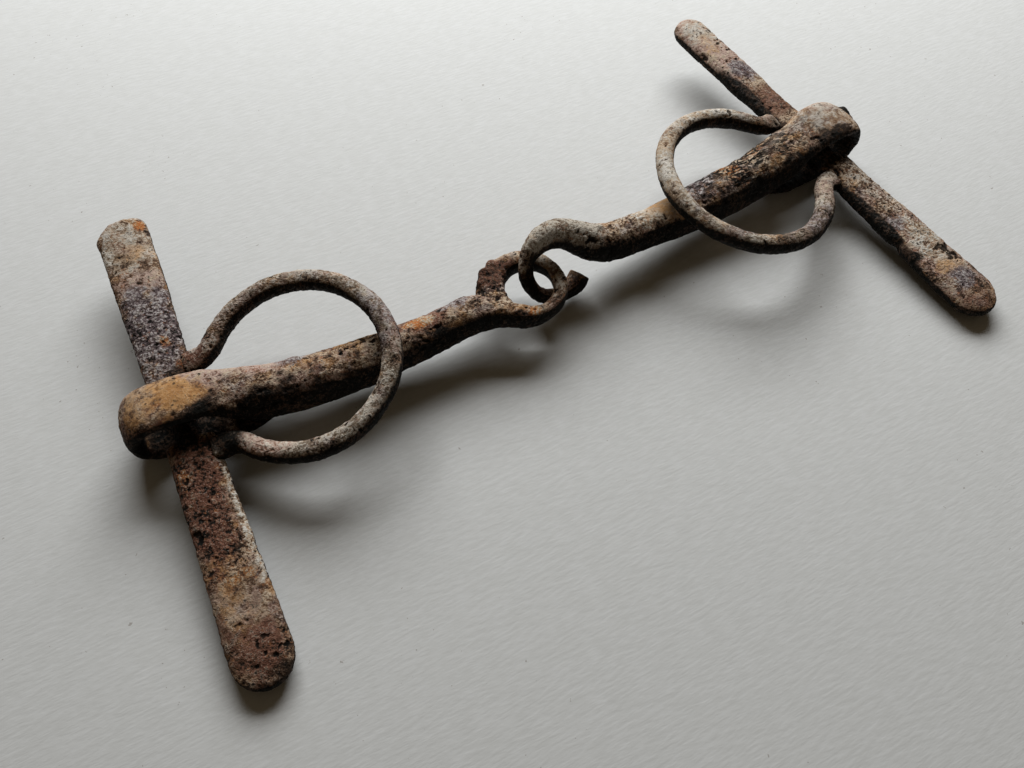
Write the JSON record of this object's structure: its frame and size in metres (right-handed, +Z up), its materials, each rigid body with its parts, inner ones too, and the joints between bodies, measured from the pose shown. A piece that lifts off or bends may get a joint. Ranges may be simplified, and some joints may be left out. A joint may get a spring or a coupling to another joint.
{
  "type": "jointed snaffle bit",
  "caption": "Forged iron horse bit: a mouthpiece in two linked arms that fold at the middle, with long cheek bars that swivel in its end eyes and D-shaped loops for the reins.",
  "frame": {"origin": "centre of the bit's box in plan, on the flat surface that the bit lies on", "axes": "+X along the mouthpiece from the left bar to the right bar, +Y along the bars to their short halves, +Z up from the surface"},
  "size_m": [0.2115, 0.1249, 0.0212],
  "materials": {
    "left_arm_iron": "hand-forged iron, heavily rusted: pink-tan and ochre patches over black granular scale",
    "right_arm_iron": "hand-forged iron, heavily rusted: coarse black pitted crust with tan and orange specks",
    "bar_iron": "hammered iron, granular brown and purple-grey rust with pale worn patches",
    "ring_iron": "forged wire, pale beige-grey worn rust with dark pits"
  },
  "bodies": {
    "left_arm": {"left_mouth_arm": "left_arm_iron"},
    "right_arm": {"right_mouth_arm": "right_arm_iron"},
    "left_cheek": {"left_cheek_bar": "bar_iron", "left_rein_ring": "ring_iron"},
    "right_cheek": {"right_cheek_bar": "bar_iron", "right_rein_ring": "ring_iron"}
  },
  "joints": [
    {"name": "centre_fold", "type": "hinge", "parent": "left_arm", "child": "right_arm", "pos_m": [-0.00447, -0.00325, 0.009], "axis": [0, 0, 1], "range_deg": [-90, 100]},
    {"name": "left_cheek_swivel", "type": "hinge", "parent": "left_arm", "child": "left_cheek", "pos_m": [-0.0922, 0.00365, 0.008], "axis": [0.04, 0.9958, 0.0819], "range_deg": [-330, 0]},
    {"name": "right_cheek_swivel", "type": "hinge", "parent": "right_arm", "child": "right_cheek", "pos_m": [0.0922, 0.00305, 0.0079], "axis": [-0.1129, 0.991, 0.0715], "range_deg": [0, 330]}
  ]
}
